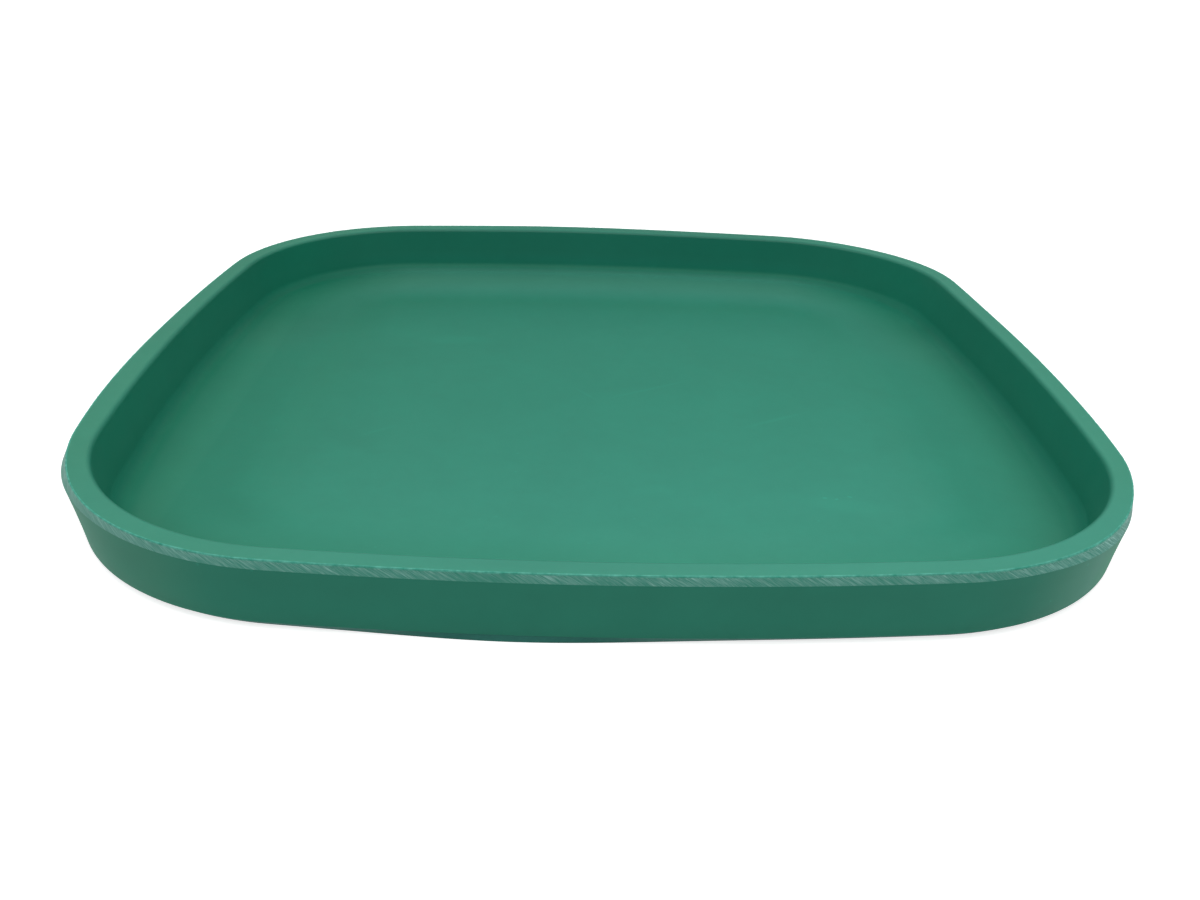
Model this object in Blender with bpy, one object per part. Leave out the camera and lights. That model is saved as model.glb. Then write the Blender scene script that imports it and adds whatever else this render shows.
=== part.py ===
"""Square plant saucer: one moulding with a flat floor, a low leaning wall and a flat rim.

Lengths are in metres and +Z is up. The origin is the centre of the underside, and the
four sides face +X, +Y, -X and -Y.
"""

import math

import bmesh
import bpy

# The rim seen from above: four slightly bowed sides joined by round corners.
WIDTH = 0.350
SIDE_RADIUS = 0.980
CORNER_RADIUS = 0.085
SIDE_STEPS = 8
CORNER_STEPS = 16

# The outside in section, from the ground up.
HEIGHT = 0.0240
BASE_EDGE_RISE = 0.0024
BASE_EDGE_RUN = 0.0028
WALL_LEAN = math.radians(8.3)
BAND_HEIGHT = 0.0032

# The inside in section, from the rim down.
RIM_WIDTH = 0.0075
RIM_EDGE_RADIUS = 0.0030
RIM_EDGE_STEPS = 6
INNER_LEAN = math.radians(8.3)
FILLET_RUN = 0.0055
FILLET_RISE = 0.0050
FILLET_STEPS = 6
FLOOR_THICKNESS = 0.0028

# The moulding compound: a satin mid green.
GREEN = (0.012, 0.279, 0.180, 1.0)
ROUGHNESS = 0.45

SHARP_EDGE = math.radians(30)


def rim_outline():
    """Points of the rim's outer edge, anticlockwise from the start of the +X side.

    A side is an arc of SIDE_RADIUS whose middle is WIDTH / 2 from the centre. A corner is
    an arc of CORNER_RADIUS about a point on the diagonal, and meets both sides smoothly.
    """
    half = WIDTH / 2
    corner_radius = min(CORNER_RADIUS, half)
    side_radius = max(SIDE_RADIUS, half)
    side_centre = half - side_radius
    reach = side_radius - corner_radius
    swing = math.pi / 4 - math.asin(-side_centre / (reach * math.sqrt(2)))
    corner_centre = reach * math.sin(swing)
    points = []
    for quarter in range(4):
        turn = quarter * math.pi / 2
        arcs = (
            (side_centre, 0.0, side_radius, -swing, swing, SIDE_STEPS),
            (corner_centre, corner_centre, corner_radius, swing, math.pi / 2 - swing, CORNER_STEPS),
        )
        for centre_x, centre_y, radius, start, end, steps in arcs:
            for step in range(steps):
                angle = start + (end - start) * step / steps
                x = centre_x + radius * math.cos(angle)
                y = centre_y + radius * math.sin(angle)
                points.append((
                    x * math.cos(turn) - y * math.sin(turn),
                    x * math.sin(turn) + y * math.cos(turn),
                ))
    return points


def outside_section():
    """(inset from the rim's outer edge, height) down the outside, from the band to the underside."""
    band_foot = HEIGHT - BAND_HEIGHT
    wall_drop = band_foot - BASE_EDGE_RISE
    wall_foot = wall_drop * math.tan(WALL_LEAN)
    return [
        (0.0, band_foot),
        (wall_foot, BASE_EDGE_RISE),
        (wall_foot + BASE_EDGE_RUN, 0.0),
    ]


def inside_section():
    """(inset from the rim's outer edge, height) over the rim and down the inside to the floor.

    The rim's inner edge is an arc that turns from level to the wall's slope. The fillet is
    part of an ellipse that turns from the wall's slope back to level on the floor.
    """
    edge_tangent = RIM_EDGE_RADIUS * (1 - math.sin(INNER_LEAN)) / math.cos(INNER_LEAN)
    flat_width = RIM_WIDTH - edge_tangent
    section = [(0.0, HEIGHT), (flat_width, HEIGHT)]
    edge_turn = math.pi / 2 - INNER_LEAN
    for step in range(1, RIM_EDGE_STEPS + 1):
        angle = edge_turn * step / RIM_EDGE_STEPS
        section.append((
            flat_width + RIM_EDGE_RADIUS * math.sin(angle),
            HEIGHT - RIM_EDGE_RADIUS * (1 - math.cos(angle)),
        ))

    wall_top_inset, wall_top = section[-1]
    rise = min(FILLET_RISE, wall_top - FLOOR_THICKNESS)
    fillet_turn = math.atan(FILLET_RUN / rise / math.tan(INNER_LEAN))
    fillet_top = FLOOR_THICKNESS + rise * (1 - math.cos(fillet_turn))
    fillet_inset = wall_top_inset + (wall_top - fillet_top) * math.tan(INNER_LEAN)
    floor_inset = fillet_inset + FILLET_RUN * math.sin(fillet_turn)
    for step in range(FILLET_STEPS + 1):
        angle = fillet_turn * (1 - step / FILLET_STEPS)
        section.append((
            floor_inset - FILLET_RUN * math.sin(angle),
            FLOOR_THICKNESS + rise * (1 - math.cos(angle)),
        ))
    return section


def inset_along(bm, face, section):
    """Insets the level face again and again, so that its edge passes through the section's points."""
    outward = 1 if face.normal.z > 0 else -1
    for (inset, height), (next_inset, next_height) in zip(section, section[1:]):
        bmesh.ops.inset_region(
            bm,
            faces=[face],
            thickness=next_inset - inset,
            depth=(next_height - height) * outward,
            use_even_offset=True,
        )


def moulded_green():
    """Satin, through-coloured moulding compound."""
    material = bpy.data.materials.new("moulded_green")
    material.use_nodes = True
    shader = material.node_tree.nodes["Principled BSDF"]
    shader.inputs["Base Color"].default_value = GREEN
    shader.inputs["Roughness"].default_value = ROUGHNESS
    shader.inputs["Metallic"].default_value = 0.0
    return material


def saucer():
    """The saucer: the band under the rim is a prism, and both of its level faces are inset
    along the section, one down the outside to the underside, one down the inside to the floor.
    """
    outside = outside_section()
    inside = inside_section()
    outline = rim_outline()
    bm = bmesh.new()
    bmesh.ops.create_circle(bm, cap_ends=True, segments=len(outline), radius=WIDTH / 2)
    band_foot = outside[0][1]
    for vertex, (x, y) in zip(bm.verts, outline):
        vertex.co = (x, y, band_foot)
    lower_face = bm.faces[:][0]
    raised = bmesh.ops.extrude_face_region(bm, geom=[lower_face], use_keep_orig=True)["geom"]
    for item in raised:
        if isinstance(item, bmesh.types.BMVert):
            item.co.z = HEIGHT
    upper_face = next(item for item in raised if isinstance(item, bmesh.types.BMFace))
    bmesh.ops.recalc_face_normals(bm, faces=bm.faces)
    inset_along(bm, upper_face, inside)
    inset_along(bm, lower_face, outside)
    mesh = bpy.data.meshes.new("saucer")
    bm.to_mesh(mesh)
    bm.free()
    mesh.shade_smooth()
    mesh.set_sharp_from_angle(angle=SHARP_EDGE)
    mesh.materials.append(moulded_green())
    return bpy.data.objects.new("saucer", mesh)


for old in list(bpy.data.objects):
    bpy.data.objects.remove(old)
collection = bpy.data.collections.new("square_plant_saucer")
bpy.context.scene.collection.children.link(collection)
collection.objects.link(saucer())
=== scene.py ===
"""Square plant saucer in green moulding compound, on a pale studio table."""

import math

import bpy
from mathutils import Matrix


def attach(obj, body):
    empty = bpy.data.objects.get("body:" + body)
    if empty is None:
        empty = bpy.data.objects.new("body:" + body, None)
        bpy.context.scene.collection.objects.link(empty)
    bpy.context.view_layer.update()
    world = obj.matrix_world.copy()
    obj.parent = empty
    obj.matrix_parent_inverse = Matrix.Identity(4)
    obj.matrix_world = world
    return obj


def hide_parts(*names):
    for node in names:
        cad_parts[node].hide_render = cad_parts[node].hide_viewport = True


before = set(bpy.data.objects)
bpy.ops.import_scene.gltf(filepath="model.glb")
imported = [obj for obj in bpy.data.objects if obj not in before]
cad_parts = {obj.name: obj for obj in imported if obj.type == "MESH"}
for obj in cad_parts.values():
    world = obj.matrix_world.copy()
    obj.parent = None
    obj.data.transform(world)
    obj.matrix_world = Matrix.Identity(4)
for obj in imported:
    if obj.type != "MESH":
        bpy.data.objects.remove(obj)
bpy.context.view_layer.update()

# The saucer is one moulding of through-coloured green compound. Its wall is drawn once in
# section, and the section is carried round the rim's outline, which has four slightly bowed
# sides and round corners. The flash of the mould is sanded off, which leaves a pale band.
HALF_WIDTH = 0.175
SIDE_RADIUS = 0.980
SIDE_CENTRE = HALF_WIDTH - SIDE_RADIUS
CORNER_RADIUS = 0.085
SIDE_SWING = math.pi / 4 - math.asin(-SIDE_CENTRE / ((SIDE_RADIUS - CORNER_RADIUS) * math.sqrt(2)))
CORNER_SWING = math.pi / 2 - 2 * SIDE_SWING
CORNER_CENTRE = (SIDE_RADIUS - CORNER_RADIUS) * math.sin(SIDE_SWING)
SIDE_LENGTH = 2 * SIDE_SWING * SIDE_RADIUS
CORNER_LENGTH = CORNER_SWING * CORNER_RADIUS
EDGE_LENGTH = 4 * (SIDE_LENGTH + CORNER_LENGTH)
STEP_LENGTH = 0.001
JOIN_DISTANCE = 0.000005
ROUNDING = 1e-6

HEIGHT = 0.0240
BAND_FOOT = 0.0208
BASE_EDGE_TOP = 0.0024
BASE_EDGE_RUN = 0.0028
WALL_LEAN = math.radians(8.3)
BURR_FOOT = 0.02345
BURR_WIDTH = 0.00042
FLAT_RIM = 0.0059
RIM_EDGE_RADIUS = 0.0018
FLOOR_HEIGHT = 0.0028
FILLET_RUN = 0.0055
FILLET_RISE = 0.0050
ROUND_STEPS = 8
WALL_RINGS = (0.33, 0.66)
BAND_RINGS = (0.0216, 0.0227)
FLOOR_RINGS = (0.0170, 0.0230, 0.0371, 0.0385, 0.0440, 0.0480, 0.0540, 0.0620, 0.0780)

FINISHES = ("moulded_green", "outer_wall", "base_edge", "sanded_band", "edge_burr")


def wall_section():
    """(inset from the rim's outer edge, height) from the underside round the outside to the floor.

    The floor's rings start where the fillet has ended, so that the section never turns back.
    """
    wall_foot = (BAND_FOOT - BASE_EDGE_TOP) * math.tan(WALL_LEAN)
    base_foot = wall_foot + BASE_EDGE_RUN
    points = [
        (base_foot + 0.0060, 0.0),
        (base_foot + 0.0010, 0.0),
        (base_foot + 0.00025, 0.0),
        (base_foot + 0.00002, 0.00004),
        (base_foot - 0.00020, 0.00018),
        (wall_foot + 0.00020, BASE_EDGE_TOP - 0.00018),
        (wall_foot + 0.00006, BASE_EDGE_TOP - 0.00003),
        (wall_foot - 0.00003, BASE_EDGE_TOP + 0.00020),
    ]
    for share in WALL_RINGS:
        height = BASE_EDGE_TOP + (BAND_FOOT - BASE_EDGE_TOP) * share
        points.append((wall_foot * (1 - share), height))
    points.append((0.00003, BAND_FOOT - 0.00020))
    points += [(0.0, height) for height in (BAND_FOOT, *BAND_RINGS, BURR_FOOT)]
    points += [
        (-0.00004, 0.02370),
        (0.00000, 0.02392),
        (0.00012, 0.02403),
        (0.00028, 0.02404),
        (BURR_WIDTH, 0.02400),
        (0.00120, HEIGHT),
    ]

    edge_turn = math.pi / 2 - WALL_LEAN
    for step in range(ROUND_STEPS + 1):
        angle = edge_turn * step / ROUND_STEPS
        inset = FLAT_RIM + RIM_EDGE_RADIUS * math.sin(angle)
        height = HEIGHT - RIM_EDGE_RADIUS * (1 - math.cos(angle))
        points.append((inset, height))

    wall_top_inset, wall_top = points[-1]
    fillet_turn = math.atan(FILLET_RUN / FILLET_RISE / math.tan(WALL_LEAN))
    fillet_top = FLOOR_HEIGHT + FILLET_RISE * (1 - math.cos(fillet_turn))
    fillet_inset = wall_top_inset + (wall_top - fillet_top) * math.tan(WALL_LEAN)
    floor_inset = fillet_inset + FILLET_RUN * math.sin(fillet_turn)
    for step in range(ROUND_STEPS + 1):
        angle = fillet_turn * (1 - step / ROUND_STEPS)
        inset = floor_inset - FILLET_RUN * math.sin(angle)
        height = FLOOR_HEIGHT + FILLET_RISE * (1 - math.cos(angle))
        points.append((inset, height))
    points += [(inset, FLOOR_HEIGHT) for inset in FLOOR_RINGS if inset > floor_inset]
    return points


def place_on_rim(x, y):
    """(distance along the rim's outer edge from the middle of the back, inset from that edge)."""
    for quarter in range(4):
        turn = quarter * math.pi / 2
        across = x * math.cos(turn) + y * math.sin(turn)
        out = -x * math.sin(turn) + y * math.cos(turn)
        start = quarter * (SIDE_LENGTH + CORNER_LENGTH)
        swing = math.atan2(-across, out - SIDE_CENTRE)
        if abs(swing) <= SIDE_SWING + ROUNDING and out > 0:
            along = start + swing * SIDE_RADIUS
            return along, SIDE_RADIUS - math.hypot(across, out - SIDE_CENTRE)
        bend = math.atan2(-across - CORNER_CENTRE, out - CORNER_CENTRE)
        if SIDE_SWING - ROUNDING <= bend <= SIDE_SWING + CORNER_SWING + ROUNDING:
            along = start + SIDE_LENGTH / 2 + (bend - SIDE_SWING) * CORNER_RADIUS
            return along, CORNER_RADIUS - math.hypot(-across - CORNER_CENTRE, out - CORNER_CENTRE)
    return 0.0, 0.0


bpy.ops.object.select_all(action="DESELECT")
section = wall_section()
start_inset, start_height = section[0]
bpy.ops.mesh.primitive_plane_add(size=0.0001, location=(0, HALF_WIDTH - start_inset, start_height))
saucer = bpy.context.object
saucer.name = "saucer_moulding"
bpy.ops.object.transform_apply(location=True, rotation=True, scale=True)
bpy.ops.object.mode_set(mode="EDIT")
bpy.ops.mesh.select_all(action="SELECT")
bpy.ops.mesh.merge(type="CENTER")
for (inset, height), (next_inset, next_height) in zip(section, section[1:]):
    move = (0, inset - next_inset, next_height - height)
    bpy.ops.mesh.extrude_region_move(TRANSFORM_OT_translate={"value": move})
bpy.ops.mesh.select_all(action="SELECT")
half_side_steps = round(SIDE_LENGTH / STEP_LENGTH / 2)
corner_steps = round(CORNER_LENGTH / STEP_LENGTH)
for swing, steps, centre in (
    (SIDE_SWING, half_side_steps, (0, SIDE_CENTRE, 0)),
    (CORNER_SWING, corner_steps, (-CORNER_CENTRE, CORNER_CENTRE, 0)),
    (SIDE_SWING, half_side_steps, (-SIDE_CENTRE, 0, 0)),
):
    bpy.ops.mesh.spin(steps=steps, angle=swing, center=centre, axis=(0, 0, -1))
bpy.ops.mesh.select_all(action="SELECT")
bpy.ops.mesh.spin(steps=3, dupli=True, angle=1.5 * math.pi, center=(0, 0, 0), axis=(0, 0, -1))
bpy.ops.mesh.select_all(action="SELECT")
bpy.ops.mesh.remove_doubles(threshold=JOIN_DISTANCE)
bpy.ops.mesh.fill_holes(sides=0)
bpy.ops.mesh.select_all(action="SELECT")
bpy.ops.mesh.normals_make_consistent(inside=False)
bpy.ops.mesh.select_mode(type="VERT")
bpy.ops.mesh.select_all(action="DESELECT")
bpy.ops.object.mode_set(mode="OBJECT")

mesh = saucer.data
rim_places = [place_on_rim(vertex.co.x, vertex.co.y) for vertex in mesh.vertices]

# The base edge is fuller at one place on the front, where the foot is nearly below the wall.
FULL_PLACE = -0.026
FULL_SPREAD = 0.030
FULL_REACH = 0.0026
FULL_TOP = BASE_EDGE_TOP - 0.0003
FRONT_START = -0.150
for vertex in mesh.vertices:
    if vertex.co.z < FULL_TOP and vertex.co.y < FRONT_START:
        share = math.exp(-((vertex.co.x - FULL_PLACE) / FULL_SPREAD) ** 2 / 2)
        height_share = 1 - vertex.co.z / BASE_EDGE_TOP
        vertex.co.y -= FULL_REACH * share * height_share

# At the two front corners the band was sanded at a slant. Each row has a place, how far in the
# band's top is moved there, and how far out its foot is moved.
SLANTS = (
    (-0.166, -0.115, 0.0009, 0.0009),
    (0.164, -0.118, 0.0009, -0.0009),
    (0.145, -0.149, 0.0, 0.0012),
)
SLANT_SPREAD = 0.020
OUTER_SIDE = 0.001
for vertex in mesh.vertices:
    inset = rim_places[vertex.index][1]
    if vertex.co.z < BASE_EDGE_TOP or inset > FLAT_RIM:
        continue
    if vertex.co.z > BAND_FOOT:
        band_share = (vertex.co.z - BAND_FOOT) / (HEIGHT - BAND_FOOT)
        top_share = band_share * (1 - max(inset, 0) / FLAT_RIM)
        foot_share = max(0.0, 1 - band_share) if inset < OUTER_SIDE else 0.0
    else:
        top_share = 0.0
        foot_share = ((vertex.co.z - BASE_EDGE_TOP) / (BAND_FOOT - BASE_EDGE_TOP)) ** 2
    for slant_x, slant_y, top_reach, foot_reach in SLANTS:
        away = math.dist((vertex.co.x, vertex.co.y), (slant_x, slant_y))
        share = math.exp(-away ** 2 / (2 * SLANT_SPREAD ** 2))
        corner = (math.copysign(CORNER_CENTRE, slant_x), -CORNER_CENTRE)
        reach = math.dist((vertex.co.x, vertex.co.y), corner)
        push = share * (foot_reach * foot_share - top_reach * top_share)
        vertex.co.x += push * (vertex.co.x - corner[0]) / reach
        vertex.co.y += push * (vertex.co.y - corner[1]) / reach

# The moulding isn't quite even: the rim is wider at the left, stands out at the back right
# corner, and lies a trace back and up in the middle of the back. Each row has a place, a
# spread, a move, and the share of it that the rim's inner edge makes too.
SWELLS = (
    ((-0.175, -0.050), 0.042, (-0.0012, 0.0, 0.0), 0.0),
    ((0.164, 0.115), 0.033, (0.0025, 0.0, 0.0), 1.0),
    ((-0.015, 0.175), 0.045, (0.0, 0.0008, 0.0004), 1.0),
)
for vertex in mesh.vertices:
    height_share = (vertex.co.z - FLOOR_HEIGHT) / (HEIGHT - FLOOR_HEIGHT)
    if height_share > 0:
        start = vertex.co.copy()
        inset_share = min(1.0, max(0.0, rim_places[vertex.index][1] / FLAT_RIM))
        for (swell_x, swell_y), spread, (move_x, move_y, move_z), inner_share in SWELLS:
            away = math.dist((start.x, start.y), (swell_x, swell_y))
            share = math.exp(-(away / spread) ** 2 / 2) * height_share
            share *= 1 - inset_share * (1 - inner_share)
            vertex.co.x += move_x * share
            vertex.co.y += move_y * share
            vertex.co.z += move_z * share

# The burr left where the sanding meets the flat rim is uneven.
CREST_FOOT = 0.0236
CREST_WIDTH = 0.00035
CREST_UNEVENNESS = 0.00007
for vertex in mesh.vertices:
    vertex.select = vertex.co.z > CREST_FOOT and rim_places[vertex.index][1] < CREST_WIDTH
bpy.ops.object.mode_set(mode="EDIT")
bpy.ops.transform.vertex_random(offset=CREST_UNEVENNESS, uniform=0.0, normal=0.0, seed=5)
bpy.ops.object.mode_set(mode="OBJECT")

# Colours follow the inset, scratches follow the way round the rim, and each strip has its finish.
BAND_DEPTH = 0.0002
WALL_DEPTH = 0.0030
BASE_DEPTH = 0.0065
inset_attribute = mesh.attributes.new("inset", "FLOAT", "POINT")
for vertex, (_, inset) in zip(mesh.vertices, rim_places):
    inset_attribute.data[vertex.index].value = inset
round_map = mesh.uv_layers.new(name="round_the_rim")
for face in mesh.polygons:
    places = [rim_places[index][0] % EDGE_LENGTH for index in face.vertices]
    if len(places) == 4 and max(places) - min(places) > EDGE_LENGTH / 2:
        places = [place + EDGE_LENGTH if place < EDGE_LENGTH / 2 else place for place in places]
    for loop_index, vertex_index, place in zip(face.loop_indices, face.vertices, places):
        round_map.data[loop_index].uv = (place, mesh.vertices[vertex_index].co.z)
    finish = "moulded_green"
    if len(face.vertices) == 4:
        inset = sum(rim_places[index][1] for index in face.vertices) / 4
        height = face.center.z
        if inset < BURR_WIDTH and height > BURR_FOOT:
            finish = "edge_burr"
        elif inset < BAND_DEPTH and height > BAND_FOOT:
            finish = "sanded_band"
        elif inset < BASE_DEPTH and height < BASE_EDGE_TOP:
            finish = "base_edge"
        elif inset < WALL_DEPTH and height < BAND_FOOT:
            finish = "outer_wall"
    face.material_index = FINISHES.index(finish)


def add_node(material, kind, inputs=None, **settings):
    """A node with its settings, and with each input set to a value or linked to a socket."""
    tree = material.node_tree
    node = tree.nodes.new(kind)
    for name, value in settings.items():
        setattr(node, name, value)
    for name, value in (inputs or {}).items():
        if isinstance(value, bpy.types.NodeSocket):
            tree.links.new(value, node.inputs[name])
        else:
            node.inputs[name].default_value = value
    return node


def new_finish(name, roughness, specular):
    """A material with its shader's plain values set, ready for its pattern."""
    material = bpy.data.materials.new(name)
    material.use_nodes = True
    shader = material.node_tree.nodes["Principled BSDF"]
    shader.inputs["Roughness"].default_value = roughness
    shader.inputs["Specular IOR Level"].default_value = specular
    return material, shader


def noise(material, vector, scale, detail=2.0, rough=0.5):
    """The value of a noise texture on these coordinates."""
    inputs = {"Vector": vector, "Scale": scale, "Detail": detail, "Roughness": rough}
    return add_node(material, "ShaderNodeTexNoise", inputs).outputs["Fac"]


def remap(material, value, low, high, new_low, new_high, interpolation="LINEAR"):
    """The value spread from one range to another, and kept inside it."""
    inputs = {"Value": value, "From Min": low, "From Max": high, "To Min": new_low, "To Max": new_high}
    kind = "ShaderNodeMapRange"
    return add_node(material, kind, inputs, interpolation_type=interpolation).outputs["Result"]


def blend_colours(material, share, first, second):
    """The first colour passing to the second by share."""
    node = add_node(material, "ShaderNodeMix", data_type="RGBA")
    tree = material.node_tree
    for index, value in ((0, share), (6, first), (7, second)):
        if isinstance(value, bpy.types.NodeSocket):
            tree.links.new(value, node.inputs[index])
        elif index == 0:
            node.inputs[index].default_value = value
        else:
            node.inputs[index].default_value = (*value, 1.0)
    return node.outputs[2]


def add_bump(material, shader, height, strength, distance):
    """A relief on the shader, with its depth in metres."""
    inputs = {"Height": height, "Strength": strength, "Distance": distance}
    bump = add_node(material, "ShaderNodeBump", inputs)
    material.node_tree.links.new(bump.outputs["Normal"], shader.inputs["Normal"])


# As moulded: satin green with a fine grain and a paler rim. The tints by place are painted shade
# and light: they carry the fall-off of light over the floor and beside the walls, which this
# softbox doesn't give by itself. The pale grey strip along the back wall is a painted reflection.
WHITE = (1.0, 1.0, 1.0)
green, green_shader = new_finish("moulded_green", 0.45, 0.43)
green_place = add_node(green, "ShaderNodeTexCoord").outputs["Object"]
green_axes = add_node(green, "ShaderNodeSeparateXYZ", {"Vector": green_place}).outputs
green_inset = add_node(green, "ShaderNodeAttribute", attribute_name="inset").outputs["Fac"]


def colour_steps(material, value, steps):
    """The colour that belongs to a value, from a list of (value, colour)."""
    low, high = steps[0][0], steps[-1][0]
    ramp = add_node(material, "ShaderNodeValToRGB")
    elements = ramp.color_ramp.elements
    while len(elements) < len(steps):
        elements.new(1.0)
    for element, (place, colour) in zip(elements, steps):
        element.position = (place - low) / (high - low)
        element.color = (*colour, 1.0)
    material.node_tree.links.new(remap(material, value, low, high, 0.0, 1.0), ramp.inputs["Fac"])
    return ramp.outputs["Color"]


def value_steps(material, value, steps):
    """The level that belongs to a value, from a list of (value, level)."""
    return colour_steps(material, value, [(place, (level, level, level)) for place, level in steps])


def join_colours(material, operation, first, second):
    """Two colours added or multiplied."""
    inputs = {0: first, 1: second}
    return add_node(material, "ShaderNodeVectorMath", inputs, operation=operation).outputs[0]


def scaled(material, colour, level):
    """A colour with all of it multiplied by one level."""
    inputs = {0: colour, "Scale": level}
    return add_node(material, "ShaderNodeVectorMath", inputs, operation="SCALE").outputs[0]


def tinted(material, colour, share, tint):
    """The colour multiplied by a tint where the share is one, and left alone where it is none."""
    return join_colours(material, "MULTIPLY", colour, blend_colours(material, share, WHITE, tint))


def times(material, first, second):
    """Two values multiplied."""
    return add_node(material, "ShaderNodeMath", {0: first, 1: second}, operation="MULTIPLY").outputs[0]


def plus(material, first, second):
    """Two values added."""
    return add_node(material, "ShaderNodeMath", {0: first, 1: second}, operation="ADD").outputs[0]


# Painted shade: this colour by inset darkens the inner walls and the floor beside them, and rises towards
# the floor's middle.
green_and_painted_shade_by_inset = colour_steps(green, green_inset, (
    (0.0000, (0.038, 0.316, 0.218)),
    (0.0060, (0.038, 0.316, 0.218)),
    (0.0072, (0.009, 0.226, 0.145)),
    (0.0086, (0.009, 0.226, 0.144)),
    (0.0096, (0.0105, 0.222, 0.141)),
    (0.0102, (0.0095, 0.214, 0.135)),
    (0.0112, (0.0057, 0.195, 0.1206)),
    (0.0120, (0.0057, 0.190, 0.119)),
    (0.0130, (0.0084, 0.201, 0.123)),
    (0.0145, (0.0155, 0.218, 0.1355)),
    (0.0160, (0.0141, 0.222, 0.137)),
    (0.0190, (0.0095, 0.2235, 0.137)),
    (0.0250, (0.0075, 0.230, 0.141)),
    (0.0310, (0.0085, 0.241, 0.151)),
    (0.0374, (0.0080, 0.247, 0.156)),
    (0.0440, (0.0063, 0.249, 0.158)),
    (0.0480, (0.0073, 0.257, 0.164)),
    (0.0520, (0.0107, 0.272, 0.178)),
    (0.0560, (0.0150, 0.283, 0.188)),
    (0.0610, (0.0210, 0.2945, 0.1985)),
    (0.0700, (0.0232, 0.2975, 0.204)),
    (0.0780, (0.0247, 0.3025, 0.209)),
))
# Painted light: the floor just inside the front rim is made lighter.
painted_light_inside_front_rim = colour_steps(green, green_axes["Y"], (
    (-0.133, (0.0223, 0.287, 0.189)),
    (-0.1255, (0.0238, 0.294, 0.197)),
    (-0.117, (0.0255, 0.300, 0.205)),
))
painted_light_front_share = value_steps(green, green_axes["X"], (
    (-0.140, 0.20),
    (-0.090, 0.50),
    (-0.060, 0.68),
    (-0.025, 0.70),
    (0.005, 0.98),
    (0.055, 1.0),
    (0.085, 0.65),
    (0.140, 0.20),
))
painted_light_front_share = times(green, painted_light_front_share,
                          remap(green, green_axes["Y"], -0.121, -0.105, 1.0, 0.0, "SMOOTHSTEP"))
painted_light_front_share = times(green, painted_light_front_share,
                          remap(green, green_inset, 0.030, 0.040, 0.0, 1.0))
green_and_painted_shade_by_inset = blend_colours(green, painted_light_front_share, green_and_painted_shade_by_inset, painted_light_inside_front_rim)
# Painted shade: the floor darkens towards the back.
painted_shade_front_to_back = colour_steps(green, green_axes["Y"], (
    (-0.115, (1.0, 1.0, 1.0)),
    (-0.090, (0.840, 0.963, 0.950)),
    (-0.050, (0.675, 0.930, 0.900)),
    (-0.010, (0.530, 0.902, 0.859)),
    (0.030, (0.455, 0.883, 0.831)),
    (0.060, (0.420, 0.875, 0.822)),
    (0.090, (0.295, 0.817, 0.759)),
    (0.110, (0.260, 0.785, 0.713)),
))
# Painted shade: darker towards the left, in full on the rim and floor and in part on the inner walls.
painted_shade_side_to_side = colour_steps(green, green_axes["X"], (
    (-0.110, (0.830, 0.900, 0.852)),
    (-0.070, (0.925, 0.945, 0.928)),
    (-0.040, (0.900, 0.956, 0.946)),
    (-0.010, (0.945, 0.966, 0.966)),
    (0.030, (0.985, 0.993, 0.993)),
    (0.080, (1.0, 1.0, 1.0)),
))
# Painted shade: the floor beside the left and right walls is darker.
painted_shade_by_side_walls = colour_steps(green, green_axes["X"], (
    (-0.165, (0.78, 1.0, 1.0)),
    (-0.160, (0.70, 1.0, 1.0)),
    (-0.152, (0.50, 0.99, 0.99)),
    (-0.146, (0.80, 1.0, 0.99)),
    (-0.1403, (0.90, 1.0, 1.0)),
    (-0.1391, (0.30, 0.965, 0.957)),
    (-0.128, (0.50, 0.978, 0.982)),
    (-0.118, (0.75, 0.993, 0.995)),
    (-0.075, (1.0, 1.0, 1.0)),
    (0.134, (1.0, 1.0, 1.0)),
    (0.146, (1.0, 0.980, 0.975)),
    (0.155, (1.0, 0.955, 0.960)),
))
green_on_floor = remap(green, green_inset, 0.0098, 0.0135, 0.0, 1.0, "SMOOTHSTEP")
green_short_of_back = remap(green, green_axes["Y"], 0.075, 0.100, 1.0, 0.0, "SMOOTHSTEP")
wall_foot_shade_share = times(green, green_on_floor, green_short_of_back)
back_shade_share = remap(green, green_inset, 0.042, 0.062, 0.0, 1.0, "SMOOTHSTEP")
left_shade_share = value_steps(green, green_inset, (
    (0.0062, 1.0),
    (0.0072, 0.35),
    (0.0100, 0.35),
    (0.0140, 1.0),
))
green_on_wall = value_steps(green, green_inset, (
    (0.0064, 0.0),
    (0.0074, 1.0),
    (0.0100, 1.0),
    (0.0110, 0.0),
))
# Painted shade: the back inner wall is darker.
painted_shade_back_wall_share = times(green, green_on_wall, remap(green, green_axes["Y"], 0.130, 0.165, 0.0, 1.0))
green_on_rim = remap(green, green_inset, 0.0062, 0.0070, 1.0, 0.0)
green_side_rim = times(green, green_on_rim, remap(green, green_axes["Y"], -0.140, -0.110, 0.0, 1.0))
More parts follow.
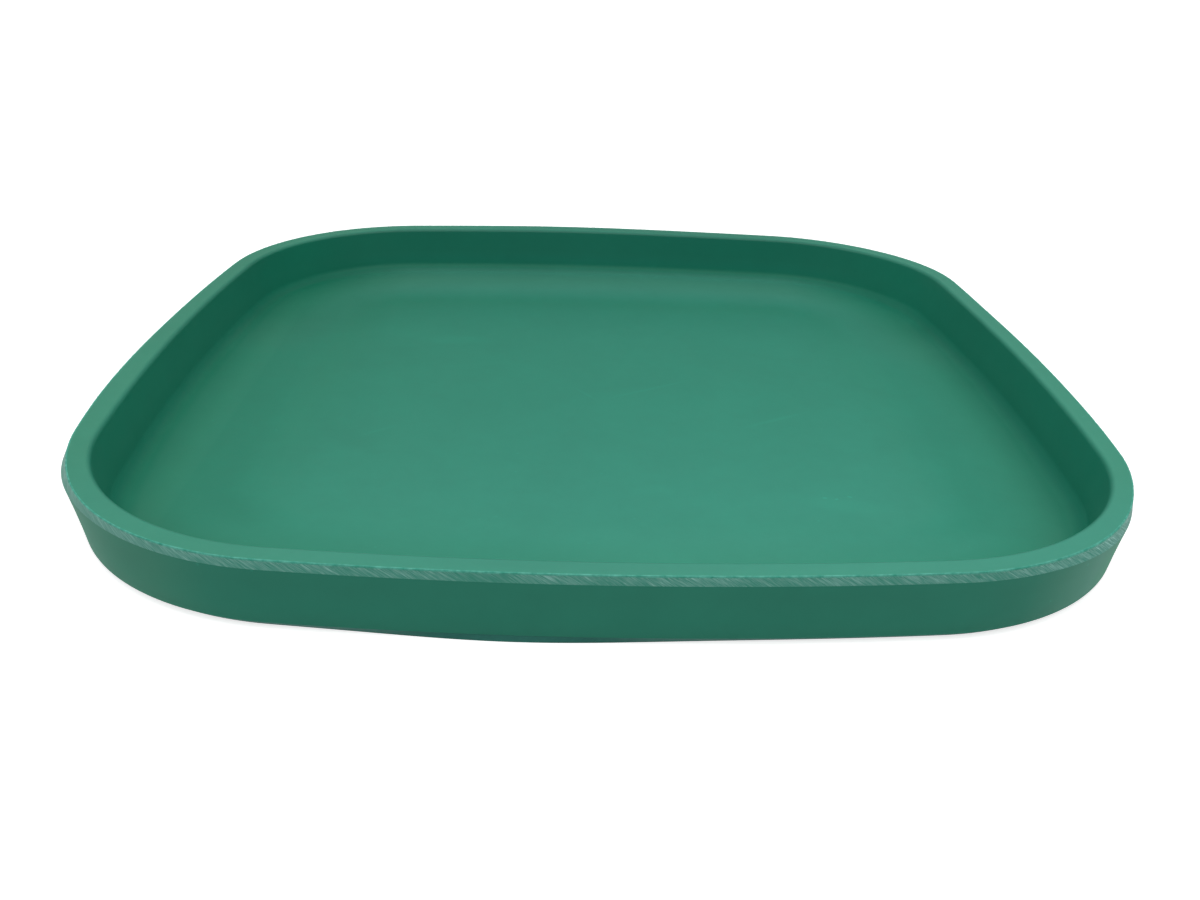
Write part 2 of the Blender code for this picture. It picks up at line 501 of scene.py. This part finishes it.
# Painted shade: the rim along the back is darker.
painted_shade_back_rim_share = times(green, green_on_rim, remap(green, green_axes["Y"], 0.110, 0.150, 0.0, 1.0))
painted_shade_back_rim_tint = colour_steps(green, green_axes["X"], (
    (-0.090, (1.0, 1.0, 1.0)),
    (-0.060, (0.80, 0.95, 0.95)),
    (-0.030, (0.70, 0.90, 0.89)),
    (0.000, (0.50, 0.81, 0.79)),
    (0.080, (0.50, 0.79, 0.77)),
    (0.115, (0.72, 0.92, 0.91)),
    (0.140, (1.0, 1.0, 1.0)),
))
green_near_corner = value_steps(green, green_axes["X"], (
    (-0.140, 1.0),
    (-0.095, 0.0),
    (0.102, 0.0),
    (0.147, 1.0),
))
green_near_corner = times(green, green_near_corner,
                          remap(green, green_axes["Y"], 0.030, 0.085, 0.0, 1.0, "SMOOTHSTEP"))
# Painted shade: the floor in the back corners is darker.
painted_shade_back_corner_share = times(green, green_near_corner, green_on_floor)
# All these tints together are painted shade and light by place.
tint_and_painted_shade = blend_colours(green, back_shade_share, WHITE, painted_shade_front_to_back)
tint_and_painted_shade = tinted(green, tint_and_painted_shade, left_shade_share, painted_shade_side_to_side)
tint_and_painted_shade = tinted(green, tint_and_painted_shade, wall_foot_shade_share, painted_shade_by_side_walls)
tint_and_painted_shade = tinted(green, tint_and_painted_shade, painted_shade_back_wall_share, (0.50, 0.88, 0.90))
tint_and_painted_shade = tinted(green, tint_and_painted_shade, green_side_rim, (1.0, 0.975, 0.930))
tint_and_painted_shade = tinted(green, tint_and_painted_shade, painted_shade_back_rim_share, painted_shade_back_rim_tint)
tint_and_painted_shade = tinted(green, tint_and_painted_shade, painted_shade_back_corner_share, (0.40, 0.880, 0.855))
green_cloud = remap(green, noise(green, green_place, 28.0, 5.0, 0.6), 0.30, 0.70, 1.0, 1.06)
green_mottle = remap(green, noise(green, green_place, 170.0, 4.0, 0.65), 0.30, 0.70, 0.980, 1.020)
green_level = times(green, green_cloud, green_mottle)

# Painted reflection: a pale grey strip on the floor along the back wall, weaker at the corners.
painted_reflection_by_inset = colour_steps(green, green_inset, (
    (0.0090, (0.0, 0.0, 0.0)),
    (0.0098, (0.003, 0.019, 0.016)),
    (0.0103, (0.000, 0.017, 0.003)),
    (0.0112, (0.0105, 0.023, 0.019)),
    (0.0120, (0.025, 0.033, 0.035)),
    (0.0130, (0.0355, 0.046, 0.050)),
    (0.0145, (0.034, 0.055, 0.059)),
    (0.0160, (0.0355, 0.053, 0.057)),
    (0.0200, (0.037, 0.039, 0.046)),
    (0.0250, (0.037, 0.029, 0.036)),
    (0.0310, (0.033, 0.022, 0.029)),
    (0.0374, (0.033, 0.022, 0.031)),
    (0.0420, (0.029, 0.022, 0.030)),
    (0.0480, (0.020, 0.017, 0.024)),
    (0.0540, (0.009, 0.013, 0.016)),
    (0.0610, (0.001, 0.006, 0.007)),
    (0.0660, (0.0, 0.0, 0.0)),
))
painted_reflection_share = remap(green, green_axes["Y"], 0.02, 0.12, 0.0, 1.0, "SMOOTHSTEP")
painted_reflection_share = times(green, painted_reflection_share, remap(green, green_near_corner, 0.0, 1.0, 1.0, 0.15))
painted_reflection_colour = scaled(green, painted_reflection_by_inset, painted_reflection_share)


def mark(material, position, centre, half_length, half_width, heading, level):
    """A soft oval of this level, upright through the part at a place in plan, and none round it."""
    mapping = add_node(material, "ShaderNodeMapping", {
        "Vector": position,
        "Location": (*centre, 0.0),
        "Rotation": (0.0, 0.0, math.radians(heading)),
        "Scale": (half_length, half_width, 1.0),
    }, vector_type="TEXTURE")
    reach = add_node(material, "ShaderNodeVectorMath", {0: mapping.outputs[0]}, operation="LENGTH")
    return remap(material, reach.outputs["Value"], 0.3, 1.0, level, 0.0, "SMOOTHSTEP")


marks = 1.0
for centre, half_length, half_width, heading, level in (
    ((0.0217, 0.0028), 0.0270, 0.0013, 31.4, 0.065),
    ((-0.0059, -0.0038), 0.0110, 0.0010, -54.0, 0.050),
    ((0.0687, -0.0257), 0.0220, 0.0016, 31.1, 0.060),
    ((-0.0620, 0.0545), 0.0200, 0.0070, 4.0, 0.050),
    ((0.0810, -0.0945), 0.0220, 0.0070, -13.0, 0.040),
    ((0.0751, -0.0898), 0.0012, 0.0007, 0.0, 0.250),
    ((0.0790, -0.0905), 0.0010, 0.0007, 30.0, 0.220),
    ((0.0839, -0.0887), 0.0013, 0.0007, -20.0, 0.250),
    ((0.0158, -0.0867), 0.0100, 0.0050, 10.0, 0.030),
    ((-0.0910, -0.0520), 0.0150, 0.0090, -40.0, -0.040),
    ((-0.0811, -0.0621), 0.0060, 0.0030, 10.0, -0.030),
    ((-0.0830, -0.0438), 0.0110, 0.0012, 40.0, 0.050),
    ((-0.1009, -0.0427), 0.0060, 0.0040, 20.0, -0.025),
    ((-0.0060, -0.1705), 0.0600, 0.0060, 0.0, -0.060),
):
    one_mark = mark(green, green_place, centre, half_length, half_width, heading, level)
    marks = plus(green, one_mark, marks)
green_level = times(green, green_level, marks)


def specks(material, position, level):
    """Scattered specks about half a millimetre wide, this much over a base level of one."""
    cells = add_node(material, "ShaderNodeTexVoronoi", {"Vector": position, "Scale": 200.0}).outputs
    draw = add_node(material, "ShaderNodeSeparateColor", {0: cells["Color"]}).outputs[0]
    chosen = remap(material, draw, 0.88, 0.90, 0.0, level)
    near = remap(material, cells["Distance"], 0.05, 0.13, 1.0, 0.0)
    return plus(material, times(material, chosen, near), 1.0)


green_level = times(green, green_level, specks(green, green_place, 0.10))

green_colour = join_colours(green, "MULTIPLY", green_and_painted_shade_by_inset, tint_and_painted_shade)
green_colour = join_colours(green, "ADD", green_colour, painted_reflection_colour)
green_colour = scaled(green, green_colour, green_level)
green.node_tree.links.new(green_colour, green_shader.inputs["Base Color"])
green_gloss = value_steps(green, green_inset, (
    (0.0092, 0.43),
    (0.0110, 0.15),
    (0.0140, 0.15),
    (0.0185, 0.43),
))
green.node_tree.links.new(green_gloss, green_shader.inputs["Specular IOR Level"])
green_grain = noise(green, green_place, 1600.0, 3.0, 0.6)
add_bump(green, green_shader, green_grain, 0.25, 0.00004)

# The outer wall comes from a duller side of the mould. At the two front corners it carries a painted
# glare, which makes it paler there.
wall, wall_shader = new_finish("outer_wall", 0.60, 0.20)
wall_place = add_node(wall, "ShaderNodeTexCoord").outputs["Object"]
wall_axes = add_node(wall, "ShaderNodeSeparateXYZ", {"Vector": wall_place}).outputs
wall_cloud = noise(wall, wall_place, 40.0, 5.0, 0.6)
wall_share = remap(wall, wall_cloud, 0.30, 0.70, 0.0, 1.0)
wall_colour = blend_colours(wall, wall_share, (0.0250, 0.246, 0.165), (0.0280, 0.268, 0.180))
wall_level = remap(wall, wall_axes["Z"], BASE_EDGE_TOP, 0.0160, 1.10, 1.0)
wall_level = times(wall, wall_level, specks(wall, wall_place, 0.25))
wall_colour = scaled(wall, wall_colour, wall_level)
# Painted glare: the outer wall is made paler at the two front corners.
painted_glare_on_wall = colour_steps(wall, wall_axes["X"], (
    (-0.155, (0.010, 0.034, 0.016)),
    (-0.145, (0.018, 0.036, 0.020)),
    (-0.125, (0.018, 0.020, 0.010)),
    (-0.108, (0.0, 0.0, 0.0)),
    (0.115, (0.0, 0.0, 0.0)),
    (0.128, (0.030, 0.040, 0.032)),
    (0.1405, (0.054, 0.094, 0.080)),
    (0.1515, (0.006, 0.080, 0.020)),
    (0.162, (0.0, 0.020, 0.0)),
))
painted_glare_front_share = remap(wall, wall_axes["Y"], -0.120, -0.090, 1.0, 0.0, "SMOOTHSTEP")
painted_glare_on_wall = scaled(wall, painted_glare_on_wall, painted_glare_front_share)
wall_colour = join_colours(wall, "ADD", wall_colour, painted_glare_on_wall)
wall.node_tree.links.new(wall_colour, wall_shader.inputs["Base Color"])
wall_grain = noise(wall, wall_place, 1500.0, 3.0, 0.6)
add_bump(wall, wall_shader, wall_grain, 0.25, 0.00005)

# The base edge is greyer than the wall.
base, base_shader = new_finish("base_edge", 0.60, 0.12)
base_place = add_node(base, "ShaderNodeTexCoord").outputs["Object"]
base_cloud = noise(base, base_place, 300.0, 4.0, 0.6)
base_share = remap(base, base_cloud, 0.35, 0.70, 0.0, 1.0)
base_colour = blend_colours(base, base_share, (0.045, 0.226, 0.186), (0.053, 0.256, 0.209))
base.node_tree.links.new(base_colour, base_shader.inputs["Base Color"])

# The sanded band: pale scratches that run down to the right across it, in uneven patches.
band, band_shader = new_finish("sanded_band", 0.55, 0.40)
band_map = add_node(band, "ShaderNodeUVMap", uv_map="round_the_rim").outputs["UV"]


def scratches(material, round_map, angle, pitch, length, detail):
    """Noise drawn out along lines at an angle to the rim, with the pitch and length in metres."""
    turn = add_node(material, "ShaderNodeVectorRotate", {"Vector": round_map, "Angle": angle})
    turned = turn.outputs["Vector"]
    stretch = {0: turned, 1: (1 / length, 1 / pitch, 1.0)}
    squeezed = add_node(material, "ShaderNodeVectorMath", stretch, operation="MULTIPLY")
    return noise(material, squeezed.outputs["Vector"], 1.0, detail, 0.55)


fine = scratches(band, band_map, math.radians(36), 0.00022, 0.0045, 2.0)
coarse = scratches(band, band_map, math.radians(32), 0.0007, 0.0080, 2.0)
bright = scratches(band, band_map, math.radians(34), 0.00038, 0.0030, 1.0)
patch_place = join_colours(band, "MULTIPLY", band_map, (60, 60, 1))
patches = noise(band, patch_place, 1.0, 3.0, 0.6)
fine_share = remap(band, fine, 0.35, 0.70, 0.0, 0.45)
coarse_share = remap(band, coarse, 0.50, 0.75, 0.0, 0.45)
bright_share = remap(band, bright, 0.66, 0.76, 0.0, 0.40)
scratch_share = plus(band, plus(band, fine_share, coarse_share), bright_share)
patch_share = remap(band, patches, 0.32, 0.62, 0.60, 1.15)
band_height = add_node(band, "ShaderNodeSeparateXYZ", {"Vector": band_map}).outputs["Y"]
patch_share = times(band, patch_share, remap(band, band_height, BAND_FOOT, 0.0230, 0.72, 1.06))
band_place = add_node(band, "ShaderNodeTexCoord").outputs["Object"]
PATCH_HALF_WIDTH = 0.030
for centre, half_length, level in (
    ((-0.033, -0.1745), 0.013, -0.50),
    ((0.036, -0.1745), 0.006, -0.25),
    ((-0.066, -0.1730), 0.010, 0.12),
    ((0.146, -0.148), 0.014, 0.40),
    ((-0.154, -0.137), 0.008, -0.20),
):
    one_patch = mark(band, band_place, centre, half_length, PATCH_HALF_WIDTH, 0.0, level)
    patch_share = times(band, patch_share, plus(band, one_patch, 1.0))
pale_share = times(band, scratch_share, patch_share)
band_colour = blend_colours(band, pale_share, (0.030, 0.300, 0.208), (0.40, 0.76, 0.70))
band.node_tree.links.new(band_colour, band_shader.inputs["Base Color"])
add_bump(band, band_shader, fine, 0.4, 0.00006)

# The burr is thin enough to look paler than the rim.
burr, burr_shader = new_finish("edge_burr", 0.50, 0.40)
burr_place = add_node(burr, "ShaderNodeTexCoord").outputs["Object"]
burr_cloud = noise(burr, burr_place, 500.0, 3.0, 0.6)
burr_share = remap(burr, burr_cloud, 0.35, 0.65, 0.0, 1.0)
burr_colour = blend_colours(burr, burr_share, (0.030, 0.340, 0.235), (0.110, 0.520, 0.400))
burr.node_tree.links.new(burr_colour, burr_shader.inputs["Base Color"])

for material in (green, wall, base, band, burr):
    mesh.materials.append(material)
bpy.ops.object.shade_smooth_by_angle(angle=math.radians(20))
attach(saucer, "root")
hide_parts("saucer")

# The table is a wide pale sheet. The camera sees it white, and it still takes the shadow.
TABLE_SIZE = 24.0
TABLE_PAINT = 0.62
TABLE_GLOW = 0.78
bpy.ops.object.select_all(action="DESELECT")
bpy.ops.mesh.primitive_plane_add(size=TABLE_SIZE, location=(0, 0, 0))
table = bpy.context.object
table.name = "studio_table"
table_finish = bpy.data.materials.new("table_sheet")
table_finish.use_nodes = True
table_finish.node_tree.nodes.clear()
paint_colour = (TABLE_PAINT, TABLE_PAINT, TABLE_PAINT, 1)
paint = add_node(table_finish, "ShaderNodeBsdfDiffuse", {"Color": paint_colour})
rays = add_node(table_finish, "ShaderNodeLightPath")
seen = add_node(table_finish, "ShaderNodeMath",
                {0: rays.outputs["Is Camera Ray"], 1: rays.outputs["Is Glossy Ray"]}, operation="MAXIMUM")
seen = add_node(table_finish, "ShaderNodeMath",
                {0: seen.outputs[0], 1: rays.outputs["Is Transmission Ray"]}, operation="MAXIMUM")
glow = add_node(table_finish, "ShaderNodeMath", {0: seen.outputs[0], 1: TABLE_GLOW}, operation="MULTIPLY")
emission = add_node(table_finish, "ShaderNodeEmission", {"Strength": glow.outputs[0]})
both = add_node(table_finish, "ShaderNodeAddShader", {0: paint.outputs[0], 1: emission.outputs[0]})
add_node(table_finish, "ShaderNodeOutputMaterial", {"Surface": both.outputs[0]})
table.data.materials.append(table_finish)

# The light is one wide softbox overhead, brighter towards the camera. Black cards at the
# sides and front keep low light off the saucer, and the card at the back is pale.
SOFTBOX_HEIGHT = 0.60
SOFTBOX_HALF = 0.75
BACK_STRENGTH = 0.94
FRONT_STRENGTH = 1.75
CARD_GAP = 0.03
bpy.ops.object.select_all(action="DESELECT")
bpy.ops.mesh.primitive_plane_add(size=2 * SOFTBOX_HALF, location=(0, 0, SOFTBOX_HEIGHT))
softbox = bpy.context.object
softbox.name = "softbox_cloth"
bpy.ops.object.transform_apply(location=True, rotation=True, scale=True)
softbox_finish = bpy.data.materials.new("softbox_cloth")
softbox_finish.use_nodes = True
softbox_finish.node_tree.nodes.clear()
softbox_place = add_node(softbox_finish, "ShaderNodeTexCoord").outputs["Object"]
softbox_axes = add_node(softbox_finish, "ShaderNodeSeparateXYZ", {"Vector": softbox_place})
softbox_strength = remap(softbox_finish, softbox_axes.outputs["Y"], -0.50, 0.25,
                         FRONT_STRENGTH, BACK_STRENGTH, "SMOOTHSTEP")
softbox_light = add_node(softbox_finish, "ShaderNodeEmission", {"Strength": softbox_strength})
add_node(softbox_finish, "ShaderNodeOutputMaterial", {"Surface": softbox_light.outputs[0]})
softbox.data.materials.append(softbox_finish)
softbox.visible_camera = False

for card_name, heading, paint_level in (
    ("back_card", 0.0, 0.60),
    ("right_card", 0.5 * math.pi, 0.04),
    ("front_card", math.pi, 0.04),
    ("left_card", 1.5 * math.pi, 0.04),
):
    card_finish = bpy.data.materials.new(card_name)
    card_finish.use_nodes = True
    card_shader = card_finish.node_tree.nodes["Principled BSDF"]
    card_shader.inputs["Base Color"].default_value = (paint_level, paint_level, paint_level, 1.0)
    card_shader.inputs["Roughness"].default_value = 0.9
    card_shader.inputs["Specular IOR Level"].default_value = 0.0
    bpy.ops.object.select_all(action="DESELECT")
    bpy.ops.mesh.primitive_plane_add(size=1.0, location=(
        SOFTBOX_HALF * math.sin(heading),
        SOFTBOX_HALF * math.cos(heading),
        (SOFTBOX_HEIGHT + CARD_GAP) / 2,
    ))
    card = bpy.context.object
    card.name = card_name
    card.rotation_euler = (math.pi / 2, 0, -heading)
    card.scale = (2 * SOFTBOX_HALF, SOFTBOX_HEIGHT - CARD_GAP, 1)
    bpy.ops.object.transform_apply(location=True, rotation=True, scale=True)
    card.data.materials.append(card_finish)
    card.visible_camera = False

# Outside the cards there is plain white daylight, which whitens the rest of the table.
world = bpy.data.worlds.new("studio_sky")
bpy.context.scene.world = world
world.use_nodes = True
world.node_tree.nodes["Background"].inputs["Color"].default_value = (1, 1, 1, 1)
world.node_tree.nodes["Background"].inputs["Strength"].default_value = 1.0
bpy.context.scene.view_settings.view_transform = "Standard"

# The camera looks down over the front edge from a little left of the middle.
bpy.ops.object.camera_add(
    location=(-0.01360277, -0.42341051, 0.18030761),
    rotation=(math.radians(64.19169934), math.radians(-1.94120691), math.radians(-1.08721875)),
)
camera = bpy.context.object
camera.name = "picture_camera"
camera.data.lens = 33.6188
camera.data.sensor_width = 36.0
camera.data.clip_start = 0.01
camera.data.clip_end = 100.0
camera.data.dof.use_dof = False
bpy.context.scene.camera = camera
